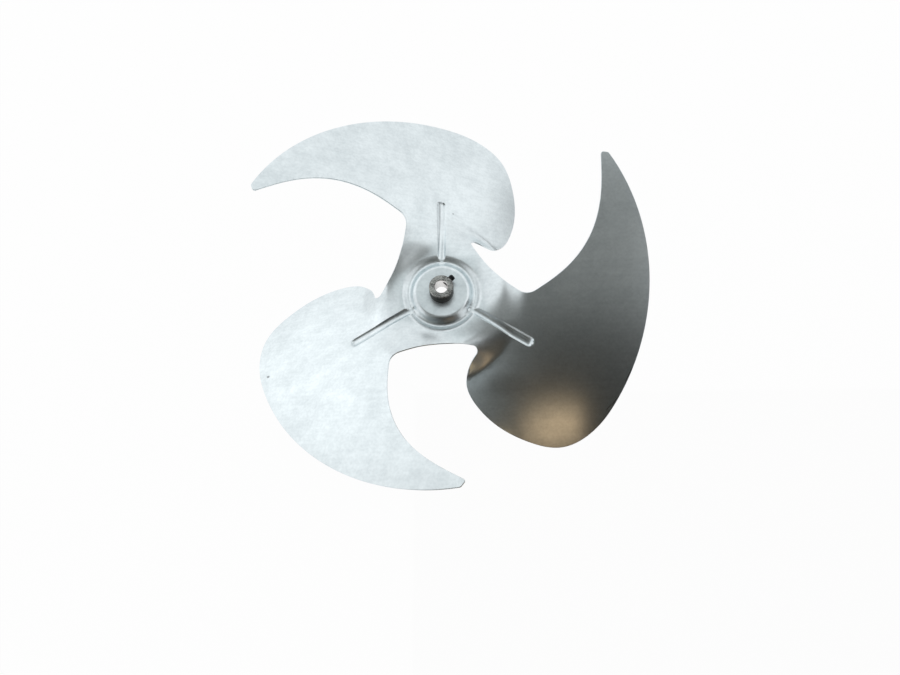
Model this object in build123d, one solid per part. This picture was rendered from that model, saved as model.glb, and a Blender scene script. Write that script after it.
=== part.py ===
from build123d import *
from math import acos, cos, degrees, hypot, radians, sin, sqrt, tan
import os

# Axial fan impeller, sizes in millimetres and degrees.
# The origin lies on the bore axis in the upper face of the flat web, and +Z points out of the hub
# side. Blade 0 has its groove along +Y. A bearing is measured clockwise from the groove of a blade,
# seen from the hub side, so the horn of a blade has a negative bearing and its lobe a positive one.

# Sheet
blade_count = 3
sheet_thickness = 1.5

# Blade surface, stated at a station on the groove line
station_radius = 120.0
station_drop = 7.3
blade_pitch = 28.7
pitch_relief = 0.00033
chord_bow_radius = 815.0
span_droop = 6.8
span_bow_radius = 727.0

# The fold at the blade roots starts a little outside the joint between web and blades
fold_start_gap = 0.6
fold_width = 22.0

# Outline of a blade. The points of its lobe are a bearing and the share of the way from the joint
# circle out to the sweep; those of its horn are a bearing and the share of the way from its root
# out to its tip.
sweep_radius = 203.2
sweep_bearing = 5.0
middle_edge_inset = 4.6
middle_edge_bearing = -25.0
tip_inset = 12.2
tip_bearing = -65.0
tip_width = 5.0
tip_slant = 1.6
lobe_stations = [(20.7, 0.926), (28.3, 0.763), (34.9, 0.594), (42.2, 0.373), (44.1, 0.209), (39.2, 0.130)]
horn_stations = [(-62.2, 0.874), (-55.6, 0.767), (-46.1, 0.591), (-37.7, 0.379)]
root_bearing = -24.0
notch_bearing = 24.5
root_fillet = 14.0
notch_fillet = 4.5
tip_fillet = 2.2

# Bay between two arms
bay_edge_distance = 53.4
bay_edge_radius = 148.0
bay_bearing = -64.4
joint_margin = 3.6

# Boss and moat in the middle of the web
boss_radius = 27.3
boss_height = 3.3
moat_depth = 3.0
moat_inner_radius = 32.0
moat_outer_radius = 35.0
moat_lip_radius = 38.8

# Pressed groove along each arm
groove_end_radius = 100.9
groove_radius = 4.4
groove_rise = 2.0
groove_start_radius = 33.5
groove_bend_radius = 61.5
groove_fall = 4.4
groove_taper = 4.5
groove_nose = 0.45

# Hub bush
bore_diameter = 12.7
hub_diameter = 24.0
hub_rise = 14.8
spigot_diameter = 18.0
collar_diameter = 22.0
collar_height = 2.6
bush_chamfer = 0.8
bore_chamfer = 0.5
staking_clearance = 0.05

# Set screw
screw_diameter = 6.35
screw_length = 9.5
screw_recess = 1.2
screw_bearing = 42.0
screw_height = 8.7
screw_socket_size = 3.2
screw_socket_depth = 3.6
screw_chamfer = 0.6
thread_clearance = 0.05

# Spacing of the points that carry the pressed surface, and how far they run beyond the outline
ring_step = 5.5
bearing_step = 6.0
surface_tolerance = 0.01
seam_tolerance = 0.02
ring_margin = 4.0
outer_margin = 12.0
horn_margin = 11.0
lobe_bearing = 52.0


# Sizes that follow from those above
joint_radius = bay_edge_distance + joint_margin
fold_start_radius = joint_radius + fold_start_gap
middle_edge_radius = sweep_radius - middle_edge_inset
tip_radius = sweep_radius - tip_inset
pitch_angle = 360.0 / blade_count


def ease(value, start, width):
    """Rise smoothly from 0 to 1 as value passes from start to start + width."""
    share = min(max((value - start) / width, 0.0), 1.0)
    return share * share * (3.0 - 2.0 * share)


def polar(radius, bearing):
    """Give the plan point at a radius and a bearing."""
    return radius * sin(radians(bearing)), radius * cos(radians(bearing))


def blade_height(across, along):
    """Give the height of the pitched and bowed blade, along the groove and across it."""
    out = along - station_radius
    return (-station_drop - across * tan(radians(blade_pitch)) - across**2 / (2 * chord_bow_radius)
            - out * tan(radians(span_droop)) - out**2 / (2 * span_bow_radius)
            + pitch_relief * across * out)


def sheet_height(x, y):
    """Give the height of the upper face of one blade with the flat web inside its fold."""
    return ease(hypot(x, y), fold_start_radius, fold_width) * blade_height(x, y)


def sheet_point(radius, bearing, depth):
    """Give the point that lies at a depth below the upper face, measured square to it."""
    x, y = polar(radius, bearing)
    step = 0.01
    slope_x = (sheet_height(x + step, y) - sheet_height(x - step, y)) / (2 * step)
    slope_y = (sheet_height(x, y + step) - sheet_height(x, y - step)) / (2 * step)
    scale = depth / sqrt(1.0 + slope_x**2 + slope_y**2)
    return Vector(x + slope_x * scale, y + slope_y * scale, sheet_height(x, y) - scale)


def stations(start, end, step):
    """Divide a stretch evenly into steps of about the given size."""
    count = max(int(round((end - start) / step)), 1)
    return [start + (end - start) * index / count for index in range(count + 1)]


def pressed_face(depth):
    """Lay a smooth face through points at one depth below the upper face of a blade."""
    radii = stations(joint_radius - ring_margin, sweep_radius + outer_margin, ring_step)
    bearings = stations(tip_bearing - horn_margin, lobe_bearing, bearing_step)
    grid = [[sheet_point(radius, bearing, depth) for bearing in bearings] for radius in radii]
    return Face.make_surface_from_array_of_points(grid, tol=surface_tolerance, min_deg=3)


def pressed_slab():
    """Build the sheet of one blade, larger all round than its outline."""
    upper = pressed_face(0.0)
    lower = pressed_face(sheet_thickness)
    sides = []
    for edge in upper.edges():
        partner = lower.edges().sort_by_distance(edge.center())[0]
        sides.append(Face.make_surface_from_curves(edge, partner))
    return Solid(Shell([upper, lower] + sides))


def bay_point(bearing):
    """Give the point of the bay's edge at a bearing, on the circle that cuts the web."""
    reach = bay_edge_distance + bay_edge_radius
    offset = radians(bearing - bay_bearing)
    return polar(reach * cos(offset) - sqrt(bay_edge_radius**2 - (reach * sin(offset))**2), bearing)


def bay_half_angle():
    """Give the angle between the middle of a bay and its edge, seen on the joint circle."""
    reach = bay_edge_distance + bay_edge_radius
    square_sum = reach**2 + joint_radius**2 - bay_edge_radius**2
    return degrees(acos(square_sum / (2 * reach * joint_radius)))


def neighbour(point):
    """Turn a plan point by one blade, clockwise seen from the hub side."""
    turned = Vector(*point).rotate(Axis.Z, -pitch_angle)
    return turned.X, turned.Y


def horn_end():
    """Give the inner corner of the blade's narrow tip."""
    return polar(tip_radius - tip_width, tip_bearing - tip_slant)


def between(start, end, stations):
    """Give plan points from their bearings and the shares of the way between two radii."""
    return [polar(start + share * (end - start), bearing) for bearing, share in stations]


def blade_plan():
    """Draw the outline of one blade outside the joint circle, as a plan face."""
    first = bay_bearing + bay_half_angle()
    last = bay_bearing + pitch_angle - bay_half_angle()
    root = bay_point(root_bearing)
    notch = neighbour(bay_point(notch_bearing - pitch_angle))
    edge = ThreePointArc(polar(sweep_radius, sweep_bearing),
                         polar(middle_edge_radius, middle_edge_bearing), polar(tip_radius, tip_bearing))
    lobe_points = between(joint_radius, sweep_radius, lobe_stations)
    horn_points = between(hypot(*root), tip_radius, horn_stations)
    lobe = Spline([edge @ 0] + lobe_points + [notch], tangents=[-(edge % 0), Vector(-1.0, 0.1)])
    horn = Spline([horn_end()] + horn_points + [root])
    notch_side = neighbour(bay_point((notch_bearing + last) / 2 - pitch_angle))
    return -Face(Wire([
        ThreePointArc(polar(joint_radius, first), bay_point((root_bearing + first) / 2), root),
        horn,
        Line(horn_end(), edge @ 1),
        edge,
        lobe,
        ThreePointArc(notch, notch_side, polar(joint_radius, last)),
        ThreePointArc(polar(joint_radius, last), polar(joint_radius, (first + last) / 2),
                      polar(joint_radius, first)),
    ]))


def round_corner(prism, point, radius):
    """Round the upright edge of a prism that stands nearest to a plan point."""
    upright = prism.edges().filter_by(Axis.Z)
    corner = upright.sort_by_distance((point[0], point[1], 0.0))[0]
    return prism.fillet(radius, [corner])


def blade_blank():
    """Build a tall prism of one blade's outline with its corners rounded."""
    blank = Solid.extrude(blade_plan().moved(Location((0, 0, -sweep_radius / 2))), (0, 0, sweep_radius))
    blank = round_corner(blank, bay_point(root_bearing), root_fillet)
    blank = round_corner(blank, neighbour(bay_point(notch_bearing - pitch_angle)), notch_fillet)
    blank = round_corner(blank, horn_end(), tip_fillet)
    return round_corner(blank, polar(tip_radius, tip_bearing), tip_fillet)


def press_line():
    """Draw the upper side of the middle of the web, from the hub hole out to the joint radius."""
    hole = spigot_diameter / 2 + staking_clearance
    return Polyline((hole, boss_height), (boss_radius, boss_height), (moat_inner_radius, -moat_depth),
                    (moat_outer_radius, -moat_depth), (moat_lip_radius, 0.0), (joint_radius, 0.0))


def web_middle():
    """Turn the pressed section of boss and moat round the axis and cut the three bays out of it."""
    reach = bay_edge_distance + bay_edge_radius
    with BuildPart() as middle:
        with BuildSketch(Plane.XZ):
            with BuildLine():
                add(press_line())
                offset(amount=sheet_thickness, side=Side.RIGHT, kind=Kind.INTERSECTION)
            make_face()
        revolve(axis=Axis.Z)
        for index in range(blade_count):
            bay_middle = polar(reach, bay_bearing + index * pitch_angle)
            with Locations(bay_middle):
                Cylinder(bay_edge_radius, 4 * sheet_thickness, mode=Mode.SUBTRACT)
    return middle.part


def groove_bar(radius):
    """Build the bar that fills a groove to the given radius, level, then falling, then tapered."""
    taper_start = groove_end_radius - groove_taper
    line = Polyline((0.0, groove_start_radius, groove_rise), (0.0, groove_bend_radius, groove_rise),
                    (0.0, taper_start, groove_rise - groove_fall))
    bar = sweep(Plane(line @ 0, z_dir=line % 0) * Circle(radius), line, transition=Transition.RIGHT)
    nose = Cone(radius, radius * groove_nose, groove_taper,
                align=(Align.CENTER, Align.CENTER, Align.MIN))
    return bar + Plane(line @ 1, z_dir=line % 1) * nose


def groove_trough(disc):
    """Build the metal under one groove, up to the middle of the sheet, inside and outside a disc."""
    half = sheet_thickness / 2
    slope = (moat_lip_radius - moat_outer_radius) / moat_depth
    length = hypot(moat_lip_radius - moat_outer_radius, moat_depth)
    wall_radius = moat_outer_radius + half * moat_depth / length
    wall_height = -moat_depth - half * (moat_lip_radius - moat_outer_radius) / length
    top = wall_radius - wall_height * slope
    low = 2 * wall_height
    bar = groove_bar(groove_radius + sheet_thickness)
    inner = bar & disc
    inner -= Pos(0, 0, low / 2) * Cone(top + low * slope, top, -low)
    inner -= Pos(0, 0, -half) * Cylinder(2 * joint_radius, 4 * groove_radius,
                                         align=(Align.CENTER, Align.CENTER, Align.MIN))
    outer = (bar - disc) - Solid.extrude(pressed_face(half), (0, 0, 4 * groove_radius))
    return inner, outer


def around(shape):
    """Give one copy of a shape for each blade."""
    return [shape.rotate(Axis.Z, index * pitch_angle) for index in range(blade_count)]


def blade_sheet():
    """Build the one-piece sheet: the web with boss, moat and grooves, and the three blades."""
    disc = Cylinder(joint_radius, sweep_radius)
    bar = groove_bar(groove_radius)
    inner, outer = groove_trough(disc)
    middle = web_middle().fuse(*around(inner))
    middle = middle.cut(*around(bar))
    blade = pressed_slab() & blade_blank()
    blade = blade.fuse(outer).cut(bar)
    return middle.fuse(*around(blade), tol=seam_tolerance)


def hub_bush():
    """Turn the bush with its seat on the boss, its spigot and its staked collar, and tap it."""
    seat = boss_height
    foot = boss_height - sheet_thickness - collar_height
    top = seat + hub_rise
    with BuildPart() as bush:
        with Locations((0, 0, seat)):
            Cylinder(hub_diameter / 2, hub_rise, align=(Align.CENTER, Align.CENTER, Align.MIN))
        with Locations((0, 0, foot)):
            Cylinder(spigot_diameter / 2, seat - foot, align=(Align.CENTER, Align.CENTER, Align.MIN))
            Cylinder(collar_diameter / 2, collar_height, align=(Align.CENTER, Align.CENTER, Align.MIN))
        ends = bush.edges().filter_by(GeomType.CIRCLE).group_by(Axis.Z)
        chamfer([ends[0], ends[-1]], bush_chamfer)
        with Locations((0, 0, foot)):
            Cylinder(bore_diameter / 2, top - foot, align=(Align.CENTER, Align.CENTER, Align.MIN),
                     mode=Mode.SUBTRACT)
        circles = bush.edges().filter_by(GeomType.CIRCLE)
        chamfer(circles.filter_by(lambda edge: edge.radius < spigot_diameter / 2), bore_chamfer)
        with BuildSketch(screw_plane(0.0)):
            Circle(screw_diameter / 2 + thread_clearance)
        extrude(amount=hub_diameter, mode=Mode.SUBTRACT)
    return bush.part


def screw_plane(reach):
    """Give the plane across the set screw's axis at a distance from the bore axis."""
    across, along = polar(1.0, screw_bearing)
    height = boss_height + screw_height
    return Plane(origin=(across * reach, along * reach, height), x_dir=(0, 0, 1), z_dir=(across, along, 0))


def set_screw():
    """Turn the set screw, point inward, with a hexagon socket in its outer end."""
    tip = bore_diameter / 2 + screw_recess
    with BuildPart() as screw:
        with BuildSketch(screw_plane(tip)):
            Circle(screw_diameter / 2)
        extrude(amount=screw_length)
        chamfer(screw.edges().filter_by(GeomType.CIRCLE), screw_chamfer)
        with BuildSketch(screw_plane(tip + screw_length)):
            RegularPolygon(screw_socket_size / 2, 6, major_radius=False)
        extrude(amount=-screw_socket_depth, mode=Mode.SUBTRACT)
    return screw.part


def main():
    """Build every node and write each to its own file."""
    os.makedirs("parts", exist_ok=True)
    export_step(blade_sheet(), "parts/blade_sheet.step")
    export_step(hub_bush(), "parts/hub_bush.step")
    export_step(set_screw(), "parts/set_screw.step")


if __name__ == "__main__":
    main()
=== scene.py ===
"""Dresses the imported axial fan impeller: one pressed sheet, its turned hub bush and its set screw.

Sizes are in millimetres and degrees, and become metres where a mesh is made. The origin lies on the
bore axis in the upper face of the web, +Z points out of the hub side, and the groove of the first
blade lies along +Y. A bearing is measured clockwise from a groove, seen from the hub side.
"""

from __future__ import annotations

import logging
import math
from dataclasses import dataclass, field
from enum import Enum
from typing import Mapping, Sequence, Union

import bmesh
import bpy
import numpy as np
from mathutils import Matrix, Vector
from mathutils.geometry import delaunay_2d_cdt

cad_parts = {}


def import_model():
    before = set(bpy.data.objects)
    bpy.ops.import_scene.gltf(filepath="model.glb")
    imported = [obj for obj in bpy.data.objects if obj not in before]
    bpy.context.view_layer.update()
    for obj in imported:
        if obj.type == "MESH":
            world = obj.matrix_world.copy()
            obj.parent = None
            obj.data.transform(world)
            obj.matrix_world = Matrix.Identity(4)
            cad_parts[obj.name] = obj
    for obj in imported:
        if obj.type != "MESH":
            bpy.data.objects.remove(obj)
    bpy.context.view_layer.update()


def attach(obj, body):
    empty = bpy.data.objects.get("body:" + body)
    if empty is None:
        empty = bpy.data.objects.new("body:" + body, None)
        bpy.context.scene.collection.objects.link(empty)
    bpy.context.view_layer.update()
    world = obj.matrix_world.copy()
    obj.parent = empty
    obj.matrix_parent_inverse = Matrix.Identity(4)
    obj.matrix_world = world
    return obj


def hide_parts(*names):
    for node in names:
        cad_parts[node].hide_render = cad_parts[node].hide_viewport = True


log = logging.getLogger("impeller")
MM = 0.001
ROOT = "root"

# How a round between two lines is found: points to look along, first guess, rounds, samples
FILLET_LOOK = 8
FILLET_GUESS = 1.4
FILLET_ROUNDS = 60
FILLET_SAMPLES = 41

Number = Union[int, float]


class Slot(Enum):
    """The record's material slots."""

    SHEET = "sheet_metal"
    BUSH = "bush_steel"
    SCREW = "screw_black"


# Shader graphs


class Signal:
    """A value in a shader graph that takes part in Python arithmetic."""

    def __init__(self, graph: "ShaderGraph", socket: bpy.types.NodeSocket) -> None:
        """Keep the graph and the output socket that carries the value."""
        self.graph = graph
        self.socket = socket

    def _math(self, operation: str, first: "Operand", second: "Operand" = 0.0) -> "Signal":
        """Add a Math node."""
        return self.graph.add("ShaderNodeMath", {"operation": operation}, {0: first, 1: second})

    def __add__(self, other: "Operand") -> "Signal":
        """Add a value."""
        return self._math("ADD", self, other)

    def __radd__(self, other: "Operand") -> "Signal":
        """Add to a value."""
        return self._math("ADD", other, self)

    def __sub__(self, other: "Operand") -> "Signal":
        """Take a value away."""
        return self._math("SUBTRACT", self, other)

    def __rsub__(self, other: "Operand") -> "Signal":
        """Take this away from a value."""
        return self._math("SUBTRACT", other, self)

    def __mul__(self, other: "Operand") -> "Signal":
        """Multiply by a value."""
        return self._math("MULTIPLY", self, other)

    def __rmul__(self, other: "Operand") -> "Signal":
        """Multiply a value by this."""
        return self._math("MULTIPLY", other, self)

    def __pow__(self, other: "Operand") -> "Signal":
        """Raise to a power."""
        return self._math("POWER", self, other)

    def ramp(self, low: float, high: float, start: float = 0.0, end: float = 1.0) -> "Signal":
        """Rise smoothly from start to end as the value goes from low to high.

        Args:
            low: value at which the ramp starts.
            high: value at which the ramp ends.
            start: result at and below low.
            end: result at and above high.

        Returns:
            The ramped value.
        """
        return self.graph.add(
            "ShaderNodeMapRange",
            {"interpolation_type": "SMOOTHSTEP"},
            {"Value": self, "From Min": low, "From Max": high, "To Min": start, "To Max": end},
        )


Operand = Union[Signal, Number, Sequence[float]]


class ShaderGraph:
    """The node graph of one material, with a Principled shader at its end."""

    def __init__(self, name: str) -> None:
        """Make an empty material.

        Args:
            name: the material's name.
        """
        self.material = bpy.data.materials.new(name)
        self.material.use_nodes = True
        self.tree = self.material.node_tree
        self.tree.nodes.clear()

    def add(
        self,
        kind: str,
        settings: Mapping[str, object],
        inputs: Mapping[Union[str, int], Operand],
        output: Union[str, int] = 0,
    ) -> Signal:
        """Add any node.

        Args:
            kind: the node's type.
            settings: the node's own settings, set first.
            inputs: values or signals by socket name or number.
            output: the socket that the result is taken from.

        Returns:
            The signal on that output.
        """
        node = self.tree.nodes.new(kind)
        for key, value in settings.items():
            setattr(node, key, value)
        for key, value in inputs.items():
            self._feed(node.inputs[key], value)
        return Signal(self, node.outputs[output])

    def _feed(self, socket: bpy.types.NodeSocket, value: Operand) -> None:
        """Link a signal to a socket, or set the socket's own value.

        Args:
            socket: the socket that is fed.
            value: the value or signal that it takes.
        """
        if isinstance(value, Signal):
            self.tree.links.new(value.socket, socket)
        else:
            socket.default_value = value

    def place(self) -> Signal:
        """Give the object's own coordinates."""
        return self.add("ShaderNodeTexCoord", {}, {}, "Object")

    def mapped(self, vector: Signal, scale: Sequence[float], turn: float = 0.0,
               shift: Sequence[float] = (0.0, 0.0, 0.0)) -> Signal:
        """Scale, turn about Z and shift coordinates.

        Args:
            vector: the coordinates.
            scale: the factor along each axis.
            turn: the angle about Z, in degrees.
            shift: what is added along each axis.

        Returns:
            The new coordinates.
        """
        return self.add("ShaderNodeMapping", {"vector_type": "POINT"}, {
            "Vector": vector, "Location": shift, "Scale": scale,
            "Rotation": (0.0, 0.0, math.radians(turn))})

    def noise(self, vector: Signal, scale: float, detail: float, roughness: float) -> Signal:
        """Give a noise value from 0 to 1."""
        return self.add("ShaderNodeTexNoise", {"noise_dimensions": "3D"}, {
            "Vector": vector, "Scale": scale, "Detail": detail, "Roughness": roughness})

    def mix(self, factor: Operand, first: Operand, second: Operand) -> Signal:
        """Blend two colours.

        Args:
            factor: 0 for the first colour and 1 for the second.
            first: the first colour.
            second: the second colour.

        Returns:
            The blended colour.
        """
        node = self.tree.nodes.new("ShaderNodeMix")
        node.data_type = "RGBA"
        self._feed(node.inputs["Factor"], factor)
        colours = [socket for socket in node.inputs if socket.type == "RGBA"]
        for socket, value in zip(colours, (first, second)):
            self._feed(socket, value if isinstance(value, Signal) else (*value, 1.0))
        return Signal(self, next(socket for socket in node.outputs if socket.type == "RGBA"))

    def bump(self, height: Signal, distance: float, strength: float) -> Signal:
        """Turn a height into a bumped normal."""
        return self.add("ShaderNodeBump", {}, {
            "Height": height, "Distance": distance, "Strength": strength})

    def finish(self, inputs: Mapping[str, Operand]) -> bpy.types.Material:
        """End the graph in a Principled shader.

        Args:
            inputs: values or signals by the shader's socket names.

        Returns:
            The finished material.
        """
        shader = self.add("ShaderNodeBsdfPrincipled", {}, inputs)
        output = self.tree.nodes.new("ShaderNodeOutputMaterial")
        self.tree.links.new(shader.socket, output.inputs["Surface"])
        return self.material


# Finishes


@dataclass(frozen=True)
class Layer:
    """One noise of a finish: the band of it that counts, and its share in tone and in relief."""

    scale: float
    detail: float
    roughness: float
    low: float = 0.3
    high: float = 0.7
    tone: float = 1.0
    relief: float = 0.0

    def noise(self, graph: ShaderGraph, place: Signal) -> Signal:
        """Give the plain noise."""
        return graph.noise(place, self.scale, self.detail, self.roughness)

    def ramped(self, graph: ShaderGraph, place: Signal) -> Signal:
        """Give the noise with its band stretched to run from 0 to 1."""
        return self.noise(graph, place).ramp(self.low, self.high)


@dataclass(frozen=True)
class Mark:
    """A stain, scratch or patch: where it lies, its half sizes, its turn and its depth."""

    x: float
    y: float
    length: float
    width: float
    turn: float
    depth: float = 1.0


@dataclass(frozen=True)
class SheetFinish:
    """Bare rolled sheet, pale and bluish, cloudy, faintly streaked, with a few handling marks."""

    pale: tuple[float, float, float] = (0.81, 0.88, 0.905)
    grey: tuple[float, float, float] = (0.62, 0.685, 0.71)
    stain: tuple[float, float, float] = (0.16, 0.17, 0.18)
    roughness_low: float = 0.278
    roughness_high: float = 0.318
    full_tone: float = 1.6
    relief: float = 0.00003
    relief_strength: float = 0.15
    cloud: Layer = Layer(26.0, 3.0, 0.6, tone=0.37)
    mottle: Layer = Layer(110.0, 2.0, 0.6, tone=0.3, relief=0.35)
    grain: Layer = Layer(400.0, 1.0, 0.5, 0.25, 0.75, tone=0.3, relief=0.25)
    rolling: Layer = Layer(1.0, 1.0, 0.5, tone=0.13, relief=0.35)
    rolling_stretch: tuple[float, float, float] = (12.0, 330.0, 60.0)
    rolling_turn: float = 4.0
    brushed: Layer = Layer(1.0, 1.0, 0.5, tone=0.5, relief=0.5)
    brushed_stretch: tuple[float, float, float] = (22.0, 420.0, 60.0)
    brushed_patch: Mark = Mark(34.0, 122.0, 46.0, 26.0, 62.0)
    patch_softness: float = 0.6
    mark_softness: float = 0.45
    marks: tuple[Mark, ...] = (
        Mark(-178.0, -78.0, 1.6, 1.2, 0.0, 0.8),
        Mark(183.0, -82.0, 6.5, 0.6, 64.0, 0.6),
        Mark(171.0, -106.0, 5.5, 0.6, 52.0, 0.6),
        Mark(165.0, -112.0, 4.0, 0.5, 52.0, 0.5),
        Mark(12.0, 92.0, 0.9, 0.7, 0.0, 0.6),
    )

    def spot(self, graph: ShaderGraph, place: Signal, mark: Mark, soft: float) -> Signal:
        """Mask one mark.

        Args:
            graph: the material's graph.
            place: the object coordinates.
            mark: the mark to mask.
            soft: share of the mark's size over which it fades.

        Returns:
            A value that is 1 in the mark and 0 away from it.
        """
        turn = math.radians(mark.turn)
        x, y = mark.x * MM, mark.y * MM
        shift = (-(x * math.cos(turn) + y * math.sin(turn)),
                 x * math.sin(turn) - y * math.cos(turn), 0.0)
        straight = graph.mapped(place, (1.0, 1.0, 0.0), -mark.turn, shift)
        sizes = (1.0 / (mark.length * MM), 1.0 / (mark.width * MM), 0.0)
        scaled = graph.mapped(straight, sizes)
        away = graph.add("ShaderNodeVectorMath", {"operation": "LENGTH"}, {0: scaled}, "Value")
        return away.ramp(1.0 - soft, 1.0 + soft, 1.0, 0.0)

    def make(self) -> bpy.types.Material:
        """Build the material.

        Returns:
            The sheet's material.
        """
        graph = ShaderGraph("rolled_sheet")
        place = graph.place()
        along = graph.mapped(place, self.rolling_stretch, self.rolling_turn)
        across = graph.mapped(place, self.brushed_stretch, -self.brushed_patch.turn)
        patch = self.spot(graph, place, self.brushed_patch, self.patch_softness)
        brushed = self.brushed.noise(graph, across) * patch
        tone, height = brushed * self.brushed.tone, brushed * self.brushed.relief
        for layer, spread in ((self.cloud, place), (self.mottle, place), (self.grain, place),
                              (self.rolling, along)):
            noise = layer.noise(graph, spread)
            tone = tone + noise.ramp(layer.low, layer.high) * layer.tone
            if layer.relief:
                height = height + noise * layer.relief
        colour = graph.mix(tone, self.grey, self.pale)
        for mark in self.marks:
            mask = self.spot(graph, place, mark, self.mark_softness) * mark.depth
            colour = graph.mix(mask, colour, self.stain)
        span = self.roughness_high - self.roughness_low
        return graph.finish({
            "Base Color": colour,
            "Roughness": tone.ramp(0.0, self.full_tone) * -span + self.roughness_high,
            "Metallic": 1.0,
            "Normal": graph.bump(height, self.relief, self.relief_strength),
        })


@dataclass(frozen=True)
class BushFinish:
    """Turned steel that has dulled to a speckled grey, with a clean bore, and its wall below the end
    face darkened as painted shade.
    """

    light: tuple[float, float, float] = (0.52, 0.535, 0.515)
    dark: tuple[float, float, float] = (0.07, 0.07, 0.07)
    bright: tuple[float, float, float] = (0.88, 0.87, 0.86)
    # painted shade: the dark colour that the wall below the end face is mixed towards
    wall: tuple[float, float, float] = (0.07, 0.07, 0.067)
    edge_tint: tuple[float, float, float] = (0.55, 0.55, 0.55)
    specks: Layer = Layer(900.0, 4.0, 0.7, 0.38, 0.62, tone=0.6)
    cloud: Layer = Layer(160.0, 3.0, 0.55, 0.35, 0.65, tone=0.4)
    bore: float = 6.35
    bore_skin: tuple[float, float] = (0.15, 0.35)
    face: float = 17.2
    face_fade: float = 0.3
    wall_shade_share: float = 0.75
    roughness: float = 0.46
    tone_gloss: float = 0.14
    bore_gloss: float = 0.2
    relief: float = 0.00005
    relief_strength: float = 0.5

    def make(self) -> bpy.types.Material:
        """Build the material.

        Returns:
            The bush's material.
        """
        graph = ShaderGraph("turned_steel")
        place = graph.place()
        specks = self.specks.ramped(graph, place)
        tone = specks * self.specks.tone + self.cloud.ramped(graph, place) * self.cloud.tone
        x, y, z = (graph.add("ShaderNodeSeparateXYZ", {}, {0: place}, name) for name in "XYZ")
        inner, outer = ((self.bore + skin) * MM for skin in self.bore_skin)
        reamed = ((x * x + y * y) ** 0.5).ramp(inner, outer, 1.0, 0.0)
        # painted shade: everything below the end face is darkened towards the wall colour, standing
        # in for the shade it lies in
        shaded_wall_mask = z.ramp((self.face - self.face_fade) * MM, self.face * MM, 1.0, 0.0)
        colour = graph.mix(tone, self.dark, self.light)
        colour = graph.mix(shaded_wall_mask * self.wall_shade_share, colour, self.wall)
        colour = graph.mix(reamed, colour, self.bright)
        return graph.finish({
            "Base Color": colour,
            "Roughness": tone * -self.tone_gloss + self.roughness - reamed * self.bore_gloss,
            "Metallic": 1.0,
            "Specular Tint": (*self.edge_tint, 1.0),
            "Normal": graph.bump(specks, self.relief, self.relief_strength),
        })


@dataclass(frozen=True)
class ScrewFinish:
    """Black oxide with bare steel showing faintly in small scattered spots."""

    black: tuple[float, float, float] = (0.018, 0.018, 0.020)
    worn: tuple[float, float, float] = (0.10, 0.10, 0.11)
    wear: Layer = Layer(700.0, 3.0, 0.6, 0.55, 0.75)
    roughness: float = 0.42
    worn_gloss: float = 0.1
    metallic: float = 0.85
    relief: float = 0.00003
    relief_strength: float = 0.4

    def make(self) -> bpy.types.Material:
        """Build the material.

        Returns:
            The screw's material.
        """
        graph = ShaderGraph("black_oxide")
        wear = self.wear.ramped(graph, graph.place())
        return graph.finish({
            "Base Color": graph.mix(wear, self.black, self.worn),
            "Roughness": wear * -self.worn_gloss + self.roughness,
            "Metallic": self.metallic,
            "Normal": graph.bump(wear, self.relief, self.relief_strength),
        })


# Plan curves


def polar(radius: float, bearing: float) -> np.ndarray:
    """Give the plan point at a radius and a bearing."""
    angle = math.radians(bearing)
    return np.array([radius * math.sin(angle), radius * math.cos(angle)])


def eased(value: np.ndarray, start: float, width: float) -> np.ndarray:
    """Rise smoothly from 0 to 1 as the value passes from start to start + width."""
    share = np.clip((value - start) / width, 0.0, 1.0)
    return share * share * (3.0 - 2.0 * share)


def turned(points: np.ndarray, bearing: float) -> np.ndarray:
    """Turn plan points clockwise about the axis, seen from the hub side.

    Args:
        points: the points, with x and y in the last axis.
        bearing: the angle in degrees.

    Returns:
        The turned points.
    """
    angle = math.radians(bearing)
    x, y = points[..., 0], points[..., 1]
    return np.stack([x * math.cos(angle) + y * math.sin(angle),
                     y * math.cos(angle) - x * math.sin(angle)], axis=-1)


def resampled(points: np.ndarray, step: float) -> np.ndarray:
    """Place points evenly along a polyline, its ends included.

    Args:
        points: the polyline.
        step: the wanted distance between points.

    Returns:
        The evenly placed points.
    """
    lengths = np.concatenate([[0.0], np.cumsum(np.hypot(*np.diff(points, axis=0).T))])
    count = max(int(round(lengths[-1] / step)), 1)
    wanted = np.linspace(0.0, lengths[-1], count + 1)
    return np.stack([np.interp(wanted, lengths, points[:, axis]) for axis in (0, 1)], axis=-1)


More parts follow.
